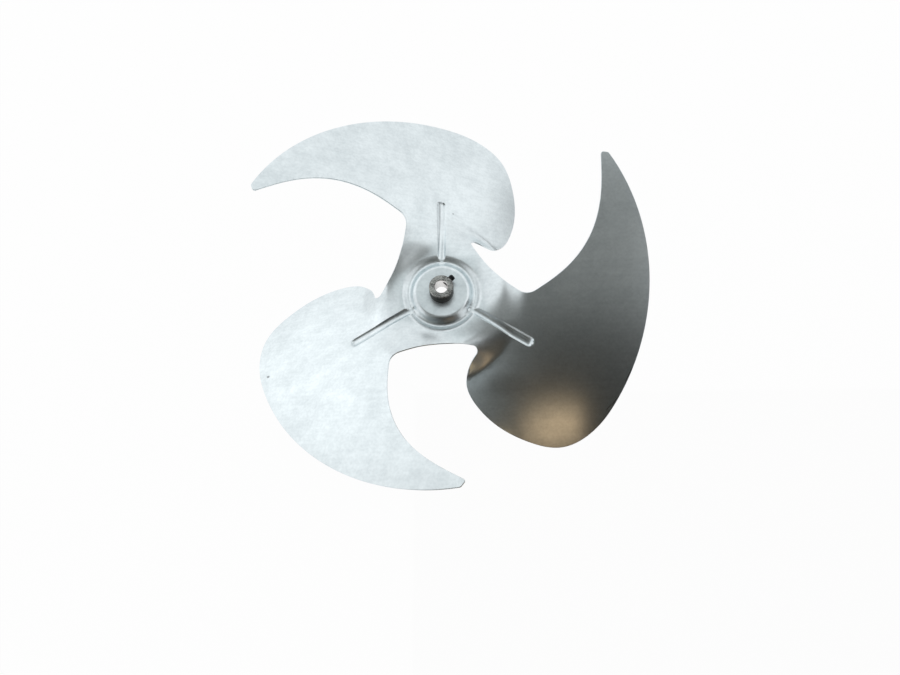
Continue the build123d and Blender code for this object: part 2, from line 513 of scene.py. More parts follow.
def spline_through(points: np.ndarray, start: np.ndarray | None = None,
                   end: np.ndarray | None = None, per_span: int = 40) -> np.ndarray:
    """Lay a smooth cubic curve through points.

    Args:
        points: the points to pass through.
        start: direction at the first point, or None for a free end.
        end: direction at the last point, or None for a free end.
        per_span: samples between two points.

    Returns:
        Samples along the curve.
    """
    spans = np.hypot(*np.diff(points, axis=0).T)
    count = len(points)
    system, right = np.zeros((count, count)), np.zeros((count, 2))
    for row in range(1, count - 1):
        before, after = spans[row - 1], spans[row]
        system[row, row - 1:row + 2] = after, 2.0 * (before + after), before
        right[row] = 3.0 * (after * (points[row] - points[row - 1]) / before
                            + before * (points[row + 1] - points[row]) / after)
    ends = ((0, 1, start, spans[0]), (count - 1, count - 2, end, spans[-1]))
    for row, near, direction, span in ends:
        if direction is None:
            system[row, row], system[row, near] = 2.0, 1.0
            right[row] = 3.0 * (points[near] - points[row]) / span * (1.0 if row == 0 else -1.0)
        else:
            system[row, row] = 1.0
            right[row] = direction / np.hypot(*direction)
    slopes = np.linalg.solve(system, right)
    samples = []
    for index, span in enumerate(spans):
        share = np.linspace(0.0, 1.0, per_span, endpoint=False)[:, None]
        square, cube = share**2, share**3
        samples.append((2 * cube - 3 * square + 1) * points[index]
                       + (cube - 2 * square + share) * span * slopes[index]
                       + (3 * square - 2 * cube) * points[index + 1]
                       + (cube - square) * span * slopes[index + 1])
    return np.vstack(samples + [points[-1:]])


def nearest_on(line: np.ndarray, point: np.ndarray) -> tuple[int, np.ndarray, np.ndarray]:
    """Find the nearest place on a polyline.

    Args:
        line: the polyline's points.
        point: the point to start from.

    Returns:
        The index of the segment, the nearest point and the segment's direction.
    """
    start, step = line[:-1], np.diff(line, axis=0)
    share = np.clip(((point - start) * step).sum(1) / (step**2).sum(1), 0.0, 1.0)
    foot = start + share[:, None] * step
    index = int(np.argmin(((foot - point)**2).sum(1)))
    return index, foot[index], step[index] / np.hypot(*step[index])


def filleted(before: np.ndarray, after: np.ndarray,
             radius: float) -> tuple[np.ndarray, np.ndarray, np.ndarray]:
    """Round the corner between two polylines that meet.

    Args:
        before: the polyline that ends at the corner.
        after: the polyline that starts there.
        radius: the radius of the round.

    Returns:
        The shortened first line, the arc, and the shortened second line.
    """
    corner = before[-1]
    inward = (before[-FILLET_LOOK] - corner) + (after[FILLET_LOOK] - corner)
    centre = corner + inward / np.hypot(*inward) * radius * FILLET_GUESS
    for _ in range(FILLET_ROUNDS):
        rows, values = [], []
        for line in (before, after):
            _, foot, along = nearest_on(line, centre)
            normal = np.array([-along[1], along[0]])
            side = 1.0 if (centre - foot) @ normal > 0 else -1.0
            rows.append(normal * side)
            values.append(radius + foot @ normal * side)
        centre = 0.5 * centre + 0.5 * np.linalg.solve(np.array(rows), np.array(values))
    first, foot_a, _ = nearest_on(before, centre)
    second, foot_b, _ = nearest_on(after, centre)
    start, end = (math.atan2(*(foot - centre)[::-1]) for foot in (foot_a, foot_b))
    sweep = (end - start + math.pi) % (2 * math.pi) - math.pi
    angles = start + sweep * np.linspace(0.0, 1.0, FILLET_SAMPLES)
    arc = centre + radius * np.stack([np.cos(angles), np.sin(angles)], axis=-1)
    return np.vstack([before[:first + 1], foot_a]), arc, np.vstack([foot_b, after[second + 1:]])


def inside(polygon: np.ndarray, points: np.ndarray) -> np.ndarray:
    """Tell which points lie inside a closed polygon.

    Args:
        polygon: the polygon's corners.
        points: the points to test.

    Returns:
        True for each point inside.
    """
    result = np.zeros(len(points), bool)
    x, y = points[:, 0], points[:, 1]
    for (ax, ay), (bx, by) in zip(polygon, np.roll(polygon, -1, axis=0)):
        crosses = (ay > y) != (by > y)
        with np.errstate(divide="ignore", invalid="ignore"):
            result ^= crosses & (x < (bx - ax) * (y - ay) / (by - ay) + ax)
    return result


def distance_to(polygon: np.ndarray, points: np.ndarray) -> np.ndarray:
    """Measure how far points lie from a closed polygon's edge.

    Args:
        polygon: the polygon's corners.
        points: the points to measure from.

    Returns:
        The distance of each point.
    """
    best = np.full(len(points), np.inf)
    for start, end in zip(polygon, np.roll(polygon, -1, axis=0)):
        step = end - start
        share = np.clip(((points - start) @ step) / (step @ step), 0.0, 1.0)
        best = np.minimum(best, np.hypot(*(points - start - share[:, None] * step).T))
    return best


def staggered(step_x: float, step_y: float, low: Sequence[float],
              high: Sequence[float]) -> np.ndarray:
    """Lay staggered rows of points over a box.

    Args:
        step_x: distance between points in a row.
        step_y: distance between rows.
        low: the box's low corner.
        high: the box's high corner.

    Returns:
        The points.
    """
    rows = []
    for index, y in enumerate(np.arange(low[1], high[1], step_y)):
        xs = np.arange(low[0] + (index % 2) * step_x / 2, high[0], step_x)
        rows.append(np.stack([xs, np.full_like(xs, y)], axis=-1))
    return np.vstack(rows)


# Mesh helpers


def new_object(name: str, mesh: bpy.types.Mesh) -> bpy.types.Object:
    """Link a mesh to the scene as an object at the origin.

    Args:
        name: the object's name.
        mesh: its mesh.

    Returns:
        The object.
    """
    piece = bpy.data.objects.new(name, mesh)
    bpy.context.scene.collection.objects.link(piece)
    return piece


def mesh_from(name: str, points: np.ndarray, faces: Sequence[Sequence[int]]) -> bpy.types.Mesh:
    """Make a smooth-shaded mesh.

    Args:
        name: the mesh's name.
        points: the vertices in millimetres.
        faces: the vertex numbers of each face.

    Returns:
        The mesh, in metres.
    """
    mesh = bpy.data.meshes.new(name)
    mesh.from_pydata((np.asarray(points) * MM).tolist(), [], [list(face) for face in faces])
    mesh.validate()
    mesh.shade_smooth()
    return mesh


def baked(piece: bpy.types.Object) -> bpy.types.Object:
    """Apply a piece's modifiers and put the plain mesh in their place.

    Args:
        piece: the piece with live modifiers.

    Returns:
        The same piece without them.
    """
    graph = bpy.context.evaluated_depsgraph_get()
    mesh = bpy.data.meshes.new_from_object(piece.evaluated_get(graph))
    mesh.name = piece.name
    piece.modifiers.clear()
    piece.data = mesh
    return piece


def circle(radius: float, z: float, segments: int) -> list[tuple[float, float, float]]:
    """Give the points of a round ring about Z."""
    angles = np.linspace(0.0, 2 * math.pi, segments, endpoint=False)
    return [(radius * math.cos(a), radius * math.sin(a), z) for a in angles]


def capped_rings(name: str, rings: Sequence[Sequence[tuple[float, float, float]]], low: float,
                 high: float) -> bpy.types.Mesh:
    """Join equal rings of points about Z and close both ends in a pole.

    Args:
        name: the mesh's name.
        rings: the rings, from the low end to the high one.
        low: height of the first pole.
        high: height of the last pole.

    Returns:
        The closed mesh.
    """
    segments = len(rings[0])
    points = [(0.0, 0.0, low)] + [point for ring in rings for point in ring] + [(0.0, 0.0, high)]
    last, top = len(points) - 1, 1 + (len(rings) - 1) * segments
    faces: list[tuple[int, ...]] = []
    for k in range(segments):
        n = (k + 1) % segments
        faces.append((0, 1 + n, 1 + k))
        for ring in range(len(rings) - 1):
            a, b = 1 + ring * segments, 1 + (ring + 1) * segments
            faces.append((a + k, a + n, b + n, b + k))
        faces.append((top + k, top + n, last))
    return mesh_from(name, np.array(points), faces)


def lathe(name: str, profile: Sequence[tuple[float, float]], segments: int) -> bpy.types.Mesh:
    """Turn a closed profile of radii and heights about Z.

    Args:
        name: the mesh's name.
        profile: corners of the closed section, none on the axis.
        segments: faces round the axis.

    Returns:
        The ring-shaped mesh.
    """
    points = [point for r, z in profile for point in circle(r, z, segments)]
    faces, count = [], len(profile)
    for row in range(count):
        for column in range(segments):
            following = (column + 1) % segments
            below, above = row * segments, ((row + 1) % count) * segments
            faces.append((below + column, below + following, above + following, above + column))
    return mesh_from(name, np.array(points), faces)


def softened(profile: Sequence[tuple[float, float]], rounds: Mapping[int, float],
             steps: int = 4) -> list[tuple[float, float]]:
    """Round chosen corners of a closed profile.

    Args:
        profile: the corners.
        rounds: radius by corner number.
        steps: segments in each round.

    Returns:
        The profile with its rounds as points.
    """
    points = [np.array(p, float) for p in profile]
    result = []
    for index, corner in enumerate(points):
        radius = rounds.get(index, 0.0)
        if radius == 0.0:
            result.append(tuple(corner))
            continue
        before, after = points[index - 1] - corner, points[(index + 1) % len(points)] - corner
        before, after = before / np.hypot(*before), after / np.hypot(*after)
        half = math.acos(max(-1.0, min(1.0, float(before @ after)))) / 2
        reach = radius / math.tan(half)
        middle = corner + (before + after) / np.hypot(*(before + after)) * radius / math.sin(half)
        start, end = corner + before * reach, corner + after * reach
        for step in range(steps + 1):
            spot = start + (end - start) * step / steps - middle
            result.append(tuple(middle + spot / np.hypot(*spot) * radius))
    return result


class NodeTree:
    """A geometry node tree that is built in code and run on one object."""

    def __init__(self, name: str) -> None:
        """Start a tree with a geometry input and output.

        Args:
            name: the tree's name.
        """
        self.tree = bpy.data.node_groups.new(name, "GeometryNodeTree")
        for way in ("INPUT", "OUTPUT"):
            self.tree.interface.new_socket(
                "Geometry", in_out=way, socket_type="NodeSocketGeometry")
        self.source = self.tree.nodes.new("NodeGroupInput")
        self.sink = self.tree.nodes.new("NodeGroupOutput")

    def size(self, name: str, kind: str) -> bpy.types.NodeSocket:
        """Add a named input and give its socket inside the tree."""
        self.tree.interface.new_socket(name, in_out="INPUT", socket_type=kind)
        return self.source.outputs[name]

    def add(self, kind: str, settings: Mapping[str, object] | None = None,
            inputs: Mapping[Union[str, int], object] | None = None) -> bpy.types.Node:
        """Add a node.

        Args:
            kind: the node's type.
            settings: the node's own settings.
            inputs: values or sockets by input name or number.

        Returns:
            The new node.
        """
        node = self.tree.nodes.new(kind)
        for key, value in (settings or {}).items():
            setattr(node, key, value)
        for key, value in (inputs or {}).items():
            if isinstance(value, bpy.types.NodeSocket):
                self.tree.links.new(value, node.inputs[key])
            else:
                node.inputs[key].default_value = value
        return node

    def close(self, geometry: bpy.types.NodeSocket, material: bpy.types.NodeSocket) -> None:
        """End the tree in Realize Instances and Set Material.

        Args:
            geometry: the socket that carries the finished geometry.
            material: the socket that carries its material.
        """
        real = self.add("GeometryNodeRealizeInstances", {}, {"Geometry": geometry})
        dressed = self.add("GeometryNodeSetMaterial", {}, {
            "Geometry": real.outputs[0], "Material": material})
        self.tree.links.new(dressed.outputs[0], self.sink.inputs[0])

    def run(self, piece: bpy.types.Object, values: Mapping[str, object]) -> bpy.types.Object:
        """Run the tree on a piece and bake the result.

        Args:
            piece: the piece that the tree changes.
            values: what each named input is set to.

        Returns:
            The same piece with the result as its mesh.
        """
        modifier = piece.modifiers.new(self.tree.name, "NODES")
        modifier.node_group = self.tree
        for item in self.tree.interface.items_tree:
            if item.item_type == "SOCKET" and item.in_out == "INPUT" and item.name in values:
                modifier[item.identifier] = values[item.name]
        return baked(piece)


# The pressed sheet


@dataclass(frozen=True)
class SheetForm:
    """The rule that the pressed sheet's upper face follows."""

    blades: int = 3
    thickness: float = 1.5
    station_radius: float = 120.0
    station_drop: float = 7.3
    pitch: float = 28.7
    pitch_relief: float = 0.00033
    chord_bow: float = 815.0
    droop: float = 6.8
    span_bow: float = 727.0
    fold_start: float = 54.0
    fold_width: float = 31.0
    web_start: float = 38.0
    web_width: float = 24.0
    web_lift: float = 6.1
    web_twist: float = 4.9
    press_line: tuple[tuple[float, float], ...] = (
        (0.0, 3.3), (27.3, 3.3), (32.0, -3.0), (35.0, -3.0), (38.8, 0.0), (60.0, 0.0))
    press_softness: float = 2.3
    press_samples: int = 13
    groove_radius: float = 4.4
    groove_rise: float = 2.0
    groove_start: float = 30.0
    groove_end: float = 103.4
    groove_lip: float = 1.3
    groove_round: float = 0.96
    groove_wall: float = 4.0
    horn_side: float = 72.0
    normal_step: float = 0.05

    @property
    def turn(self) -> float:
        """Angle from blade to blade."""
        return 360.0 / self.blades

    def homed(self, x: np.ndarray, y: np.ndarray) -> tuple[np.ndarray, np.ndarray]:
        """Turn points back to the first blade's sector.

        Args:
            x: first plan coordinates.
            y: second plan coordinates.

        Returns:
            Both coordinates in the first sector.
        """
        bearing = np.degrees(np.arctan2(x, y))
        index = np.floor((bearing + self.horn_side) / self.turn)
        radius, home = np.hypot(x, y), np.radians(bearing - index * self.turn)
        return radius * np.sin(home), radius * np.cos(home)

    def blade_height(self, across: np.ndarray, along: np.ndarray) -> np.ndarray:
        """Follow the pitched and bowed blade.

        Args:
            across: coordinates along the chord.
            along: coordinates along the groove.

        Returns:
            The heights.
        """
        out = along - self.station_radius
        return (-self.station_drop - across * math.tan(math.radians(self.pitch))
                - across**2 / (2 * self.chord_bow) - out * math.tan(math.radians(self.droop))
                - out**2 / (2 * self.span_bow) + self.pitch_relief * across * out)

    def press_height(self, radius: np.ndarray) -> np.ndarray:
        """Follow boss and moat with rounded bends.

        Args:
            radius: distances from the axis.

        Returns:
            The heights.
        """
        radii, heights = zip(*self.press_line)
        spread = np.linspace(-self.press_softness, self.press_softness, self.press_samples)
        return np.mean([np.interp(radius + shift, radii, heights) for shift in spread], axis=0)

    def fold(self, radius: np.ndarray) -> np.ndarray:
        """Rise smoothly from 0 on the web to 1 on the blades."""
        return eased(radius, self.fold_start, self.fold_width)

    def web_height(self, x: np.ndarray, y: np.ndarray) -> np.ndarray:
        """Draw the web up towards its bays, and down beside its arms.

        Args:
            x: first plan coordinates.
            y: second plan coordinates.

        Returns:
            The heights that are added to the web.
        """
        phase = np.arctan2(x, y) * self.blades
        bend = self.web_lift * (1.0 - np.cos(phase)) / 2.0 - self.web_twist * np.sin(phase)
        return eased(np.hypot(x, y), self.web_start, self.web_width) * bend

    def open_height(self, x: np.ndarray, y: np.ndarray) -> np.ndarray:
        """Follow the sheet without its grooves.

        Args:
            x: first plan coordinates in the first sector.
            y: second plan coordinates in the first sector.

        Returns:
            The heights.
        """
        radius = np.hypot(x, y)
        fold = self.fold(radius)
        web = self.press_height(radius) + self.web_height(x, y)
        return fold * self.blade_height(x, y) + (1.0 - fold) * web

    def groove_height(self, x: np.ndarray, y: np.ndarray) -> np.ndarray:
        """Follow the groove's round bottom and the steep walls beside it.

        Args:
            x: first plan coordinates in the first sector.
            y: second plan coordinates in the first sector.

        Returns:
            The heights.
        """
        end = self.groove_end - math.sqrt(self.groove_radius**2 - self.groove_rise**2)
        line_y = np.clip(y, 0.0, end)
        share = self.fold(line_y)
        axis = self.groove_rise + share * self.blade_height(np.zeros_like(line_y), line_y)
        twist = self.blades * self.web_twist / np.maximum(line_y, 1.0)
        web_slope = twist * eased(line_y, self.web_start, self.web_width)
        slope = math.tan(math.radians(self.pitch)) * share + web_slope * (1.0 - share)
        away = np.hypot(x / np.sqrt(1.0 + slope**2), y - line_y)
        depth = np.sqrt(np.maximum(self.groove_radius**2 - away**2, 0.0))
        wall = np.maximum(away - self.groove_radius * self.groove_round, 0.0) * self.groove_wall
        return axis - depth - slope * x + wall

    def height(self, x: np.ndarray, y: np.ndarray) -> np.ndarray:
        """Follow the upper face anywhere on the sheet.

        Args:
            x: first plan coordinates.
            y: second plan coordinates.

        Returns:
            The heights.
        """
        hx, hy = self.homed(x, y)
        plain, groove = self.open_height(hx, hy), self.groove_height(hx, hy)
        blend = np.clip(0.5 + 0.5 * (plain - groove) / self.groove_lip, 0.0, 1.0)
        lip = self.groove_lip * blend * (1.0 - blend) * 0.5
        lowered = plain * (1.0 - blend) + groove * blend - lip
        return np.where(hy > self.groove_start, lowered, plain)

    def normal(self, x: np.ndarray, y: np.ndarray) -> np.ndarray:
        """Give the upper face's normals.

        Args:
            x: first plan coordinates.
            y: second plan coordinates.

        Returns:
            One unit vector for each point.
        """
        step = self.normal_step
        slope_x = (self.height(x + step, y) - self.height(x - step, y)) / (2 * step)
        slope_y = (self.height(x, y + step) - self.height(x, y - step)) / (2 * step)
        normals = np.stack([-slope_x, -slope_y, np.ones_like(slope_x)], axis=-1)
        return normals / np.linalg.norm(normals, axis=1, keepdims=True)


@dataclass(frozen=True)
class SheetOutline:
    """The plan outline of one sector: a blade and its third of the web."""

    hole_radius: float = 9.05
    sweep_radius: float = 203.2
    sweep_bearing: float = 5.0
    middle_radius: float = 198.6
    middle_bearing: float = -25.0
    tip_radius: float = 191.0
    tip_bearing: float = -65.0
    tip_width: float = 5.0
    tip_slant: float = 1.6
    joint_radius: float = 57.0
    lobe: tuple[tuple[float, float], ...] = (
        (20.7, 0.926), (28.3, 0.763), (34.9, 0.594), (42.2, 0.373), (44.1, 0.209), (39.2, 0.130))
    lobe_end: tuple[float, float] = (-1.0, 0.1)
    horn: tuple[tuple[float, float], ...] = (
        (-62.2, 0.874), (-55.6, 0.767), (-46.1, 0.591), (-37.7, 0.379))
    root_bearing: float = -24.0
    notch_bearing: float = 24.5
    root_fillet: float = 14.0
    notch_fillet: float = 4.5
    tip_fillet: float = 2.2
    bay_distance: float = 53.4
    bay_radius: float = 148.0
    bay_bearing: float = -64.4
    step: float = 2.0
    fine_step: float = 0.8
    seam_step: float = 0.9
    hole_samples: int = 25
    tip_samples: int = 40
    bay_samples: int = 200
    edge_samples: int = 400

    def bay_line(self, start: float, end: float) -> np.ndarray:
        """Follow the bay's edge.

        Args:
            start: bearing of the first point.
            end: bearing of the last point.

        Returns:
            The points.
        """
        reach = self.bay_distance + self.bay_radius
        points = []
        for bearing in np.linspace(start, end, self.bay_samples):
            offset = math.radians(bearing - self.bay_bearing)
            radius = reach * math.cos(offset) - math.sqrt(
                self.bay_radius**2 - (reach * math.sin(offset))**2)
            points.append(polar(radius, bearing))
        return np.array(points)

    def edge_arc(self) -> np.ndarray:
        """Follow the blade's outer edge from the lobe to the tip.

        Returns:
            The points of an arc through the edge's three known places.
        """
        a, b, c = (polar(r, t) for r, t in ((self.sweep_radius, self.sweep_bearing),
                                           (self.middle_radius, self.middle_bearing),
                                           (self.tip_radius, self.tip_bearing)))
        system = np.array([b - a, c - b]) * 2.0
        centre = np.linalg.solve(system, np.array([b @ b - a @ a, c @ c - b @ b]))
        radius = math.hypot(*(a - centre))
        start, end = (math.atan2(*(p - centre)[::-1]) for p in (a, c))
        angles = np.linspace(start, end, self.edge_samples)
        return centre + radius * np.stack([np.cos(angles), np.sin(angles)], axis=-1)

    def lobe_line(self, edge: np.ndarray, notch: np.ndarray) -> np.ndarray:
        """Follow the blade's round lobe from the outer edge to the notch.

        Args:
            edge: the outer edge, which starts at the lobe.
            notch: the lobe's last point.

        Returns:
            The points.
        """
        length = self.sweep_radius - self.joint_radius
        points = [polar(self.joint_radius + share * length, b) for b, share in self.lobe]
        return spline_through(
            np.array([edge[0]] + points + [notch]), edge[0] - edge[1], np.array(self.lobe_end))

    def horn_line(self, root: np.ndarray) -> np.ndarray:
        """Follow the blade's hollow side from the tip to the root.

        Args:
            root: the last point, where the bay's edge starts.

        Returns:
            The points.
        """
        root_radius = math.hypot(*root)
        span = self.tip_radius - root_radius
        start = polar(self.tip_radius - self.tip_width, self.tip_bearing - self.tip_slant)
        points = [polar(root_radius + share * span, b) for b, share in self.horn]
        return spline_through(np.array([start] + points + [root]))

    def closed_line(self, turn: float) -> np.ndarray:
        """Draw the closed outline of one sector.

        Args:
            turn: angle from blade to blade.

        Returns:
            The outline's points. Both its straight sides have the same radii.
        """
        edge = self.edge_arc()
        bay_in = self.bay_line(self.root_bearing, -turn / 2)
        bay_out = turned(self.bay_line(-turn / 2, self.notch_bearing - turn), turn)
        lobe, horn = self.lobe_line(edge, bay_out[-1]), self.horn_line(bay_in[0])
        tip_line = np.linspace(edge[-1], horn[0], self.tip_samples)
        notch_a, notch_arc, lobe_rest = filleted(bay_out, lobe[::-1], self.notch_fillet)
        edge_a, tip_arc, tip_rest = filleted(edge, tip_line, self.tip_fillet)
        tip_a, end_arc, horn_rest = filleted(tip_rest, horn, self.tip_fillet)
        horn_a, root_arc, bay_rest = filleted(horn_rest, bay_in, self.root_fillet)
        seam_end = math.hypot(*bay_out[0])
        seam_count = int((seam_end - self.hole_radius) / self.seam_step) + 1
        seam = np.linspace(self.hole_radius, seam_end, seam_count)
        bearings = np.linspace(-turn / 2, turn / 2, self.hole_samples)
        rows = [np.array([polar(self.hole_radius, b) for b in bearings])[:-1],
                np.array([polar(r, turn / 2) for r in seam[:-1]])]
        for line, step in ((notch_a, self.step), (notch_arc, self.fine_step),
                           (lobe_rest, self.step), (edge_a, self.step),
                           (tip_arc, self.fine_step), (tip_a, self.fine_step),
                           (end_arc, self.fine_step), (horn_a, self.step),
                           (root_arc, self.step), (bay_rest, self.step)):
            rows.append(resampled(line, step)[:-1])
        rows.append(np.array([polar(r, -turn / 2) for r in seam[:0:-1]]))
        return np.vstack(rows)


@dataclass(frozen=True)
class SheetGrid:
    """Where the inner points of one sector lie, closest where the bends are."""

    blade_step: float = 3.6
    fold_step: float = 2.0
    row_share: float = 0.87
    fold_low: tuple[float, float] = (-95.0, -50.0)
    fold_high: tuple[float, float] = (95.0, 95.0)
    groove_steps: tuple[float, float] = (0.62, 1.3)
    groove_low: tuple[float, float] = (-7.6, 30.0)
    groove_high: tuple[float, float] = (7.7, 106.0)
    groove_side: float = 8.0
    groove_span: tuple[float, float] = (29.4, 106.6)
    press_reach: float = 42.0
    fold_reach: float = 86.0
    fold_gap: float = 1.0
    first_ring: float = 1.0
    ring_step: float = 0.75
    ring_shift: float = 0.25
    coarse_reach: float = 24.0
    coarse_every: int = 3
    coarse_spacing: float = 2.2
    fine_spacing: float = 1.5
    blade_clear: float = 1.3
    fold_clear: float = 0.9
    press_clear: float = 0.4
    groove_clear: float = 0.3

    def rings(self, hole: float, turn: float) -> np.ndarray:
        """Lay rings of points over boss and moat.

        Args:
            hole: radius of the sheet's hole.
            turn: angle from blade to blade.

        Returns:
            The points of all rings.
        """
        rings, half = [], turn / 2
        radii = np.arange(hole + self.first_ring, self.press_reach, self.ring_step)
        for index, radius in enumerate(radii):
            coarse = radius < self.coarse_reach
            if coarse and index % self.coarse_every:
                continue
            spacing = self.coarse_spacing if coarse else self.fine_spacing
            count = int(round(2 * half * math.pi / 180.0 * radius / spacing))
            shift = 0.5 * (index % 2) + self.ring_shift
            bearings = -half + 2 * half * (np.arange(count) + shift) / count
            rings.append(np.array([polar(radius, b) for b in bearings]))
        return np.vstack(rings)

    def off_groove(self, points: np.ndarray) -> np.ndarray:
        """Keep the points that lie clear of the groove's own grid."""
        (low, high), (x, y) = self.groove_span, points.T
        return points[~((np.abs(x) < self.groove_side) & (y > low) & (y < high))]

    def points(self, line: np.ndarray, hole: float, turn: float) -> np.ndarray:
        """Scatter points over the sector.

        Args:
            line: the sector's closed outline.
            hole: radius of the sheet's hole.
            turn: angle from blade to blade.

        Returns:
            The points inside the outline and clear of its edge.
        """
        blade = staggered(
            self.blade_step, self.blade_step * self.row_share, line.min(0), line.max(0))
        fold = staggered(
            self.fold_step, self.fold_step * self.row_share, self.fold_low, self.fold_high)
        groove = staggered(*self.groove_steps, self.groove_low, self.groove_high)
        away = np.hypot(*fold.T)
        blade = blade[np.hypot(*blade.T) > self.fold_reach]
        fold = fold[(away > self.press_reach) & (away < self.fold_reach - self.fold_gap)]
        kept = []
        for points, clearance in ((self.off_groove(blade), self.blade_clear),
                                  (self.off_groove(fold), self.fold_clear),
                                  (self.off_groove(self.rings(hole, turn)), self.press_clear),
                                  (groove, self.groove_clear)):
            points = points[inside(line, points)]
            kept.append(points[distance_to(line, points) > clearance])
        return np.vstack(kept)


@dataclass
class PressedSheet:
    """The one-piece sheet: web with boss, moat and grooves, and the blades."""

    form: SheetForm = field(default_factory=SheetForm)
    outline: SheetOutline = field(default_factory=SheetOutline)
    grid: SheetGrid = field(default_factory=SheetGrid)
    finish: SheetFinish = field(default_factory=SheetFinish)
    merge: float = 1e-4
    weld: float = 0.02
    rim_round: float = 0.32
    rim_bend: float = 0.3
    sharp: float = 21.0

    def sector(self) -> bpy.types.Object:
        """Make the upper face of one sector, in its pressed shape.

        Returns:
            The sector as a thin face.
        """
        line = self.outline.closed_line(self.form.turn)
        inner = self.grid.points(line, self.outline.hole_radius, self.form.turn)
        places = [Vector(point) for point in np.vstack([line, inner]).tolist()]
        border = list(range(len(line)))
        flat, _, faces, *_ = delaunay_2d_cdt(places, [], [border], 1, self.merge)
        flat = np.array([tuple(v) for v in flat])
        points = np.column_stack([flat, self.form.height(flat[:, 0], flat[:, 1])])
        log.info("sector: %d points, %d triangles", len(flat), len(faces))
        return new_object("pressed_sheet", mesh_from("pressed_sheet", points, faces))

    def ring(self, sector: bpy.types.Object, material: bpy.types.Material) -> bpy.types.Object:
        """Repeat the sector round the axis and weld the sectors together.

        Args:
            sector: the face of one sector.
            material: the sheet's material.

        Returns:
            The whole upper face.
        """
        tree = NodeTree("blade ring")
        blades, turn, weld, metal = (tree.size(name, kind) for name, kind in (
            ("Blades", "NodeSocketInt"), ("Turn", "NodeSocketFloat"),
            ("Weld", "NodeSocketFloat"), ("Metal", "NodeSocketMaterial")))
        spots = tree.add("GeometryNodeMeshLine", {"mode": "OFFSET"}, {
            "Count": blades, "Offset": (0.0, 0.0, 0.0)})
        index = tree.add("GeometryNodeInputIndex")
        angle = tree.add("ShaderNodeMath", {"operation": "MULTIPLY"}, {
            0: index.outputs[0], 1: turn})
        rotation = tree.add("ShaderNodeCombineXYZ", {}, {"Z": angle.outputs[0]})
        copies = tree.add("GeometryNodeInstanceOnPoints", {}, {
            "Points": spots.outputs[0], "Instance": tree.source.outputs["Geometry"],
            "Rotation": rotation.outputs[0]})
        real = tree.add("GeometryNodeRealizeInstances", {}, {"Geometry": copies.outputs[0]})
        welded = tree.add("GeometryNodeMergeByDistance", {}, {
            "Geometry": real.outputs[0], "Distance": weld})
        tree.close(welded.outputs[0], metal)
        return tree.run(sector, {"Blades": self.form.blades, "Metal": material,
                                 "Turn": -math.radians(self.form.turn), "Weld": self.weld * MM})

    @staticmethod
    def rim_of(points: np.ndarray, faces: Sequence[tuple[int, ...]],
               normals: np.ndarray) -> tuple[list[tuple[int, int]], np.ndarray]:
        """Find the free edges of a face.

        Args:
            points: its vertices.
            faces: the vertex numbers of its polygons.
            normals: its normals at the vertices.

        Returns:
            The free edges, and at each of their vertices the way out of the sheet.
        """
        used = dict.fromkeys(edge for face in faces for edge in zip(face, face[1:] + face[:1]))
        rim = [(a, b) for (a, b) in used if (b, a) not in used]
        out = np.zeros_like(points)
        for a, b in rim:
            side = np.cross(points[b] - points[a], normals[a] + normals[b])
            side /= np.linalg.norm(side)
            out[a] += side
            out[b] += side
        length = np.linalg.norm(out, axis=1, keepdims=True)
        return rim, np.divide(out, length, out=np.zeros_like(out), where=length > 0)

    def thickened(self, piece: bpy.types.Object,
                  material: bpy.types.Material) -> bpy.types.Object:
        """Give the face its thickness and a softly rounded blanked edge.

        Args:
            piece: the upper face.
            material: the sheet's material.

        Returns:
            The same piece as a closed sheet.
        """
        count = len(piece.data.vertices)
        points = np.empty(count * 3)
        piece.data.vertices.foreach_get("co", points)
        points = points.reshape(-1, 3) / MM
        faces = [tuple(polygon.vertices) for polygon in piece.data.polygons]
        normals = self.form.normal(points[:, 0], points[:, 1])
        rim, out = self.rim_of(points, faces, normals)
        r, bend, deep = self.rim_round, self.rim_bend, self.form.thickness / self.rim_round
        upper = points - out * r
        solid = [upper, upper - normals * self.form.thickness]
        ids = np.array(sorted({a for a, _ in rim}))
        ladder = [{a: a for a in ids}]
        for inset, depth in ((bend, bend), (0.0, 1.0), (0.0, deep - 1.0), (bend, deep - bend)):
            base = sum(len(row) for row in solid)
            ladder.append({vertex: base + order for order, vertex in enumerate(ids)})
            solid.append(points[ids] - out[ids] * r * inset - normals[ids] * r * depth)
        ladder.append({a: a + count for a in ids})
        body = list(faces) + [tuple(v + count for v in reversed(face)) for face in faces]
        for a, b in rim:
            for top, bottom in zip(ladder, ladder[1:]):
                body.append((top[b], top[a], bottom[a], bottom[b]))
        piece.data = mesh_from(piece.name, np.vstack(solid), body)
        shade_by_angle(piece, self.sharp)
        piece.data.materials.append(material)
        log.info("pressed sheet: %d faces", len(piece.data.polygons))
        return piece

    def build(self) -> bpy.types.Object:
        """Build and dress the sheet, which stands for the CAD sheet.

        Returns:
            The sheet.
        """
        material = self.finish.make()
        piece = self.thickened(self.ring(self.sector(), material), material)
        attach(piece, ROOT)
        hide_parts("blade_sheet")
        return piece


# Hub bush and set screw


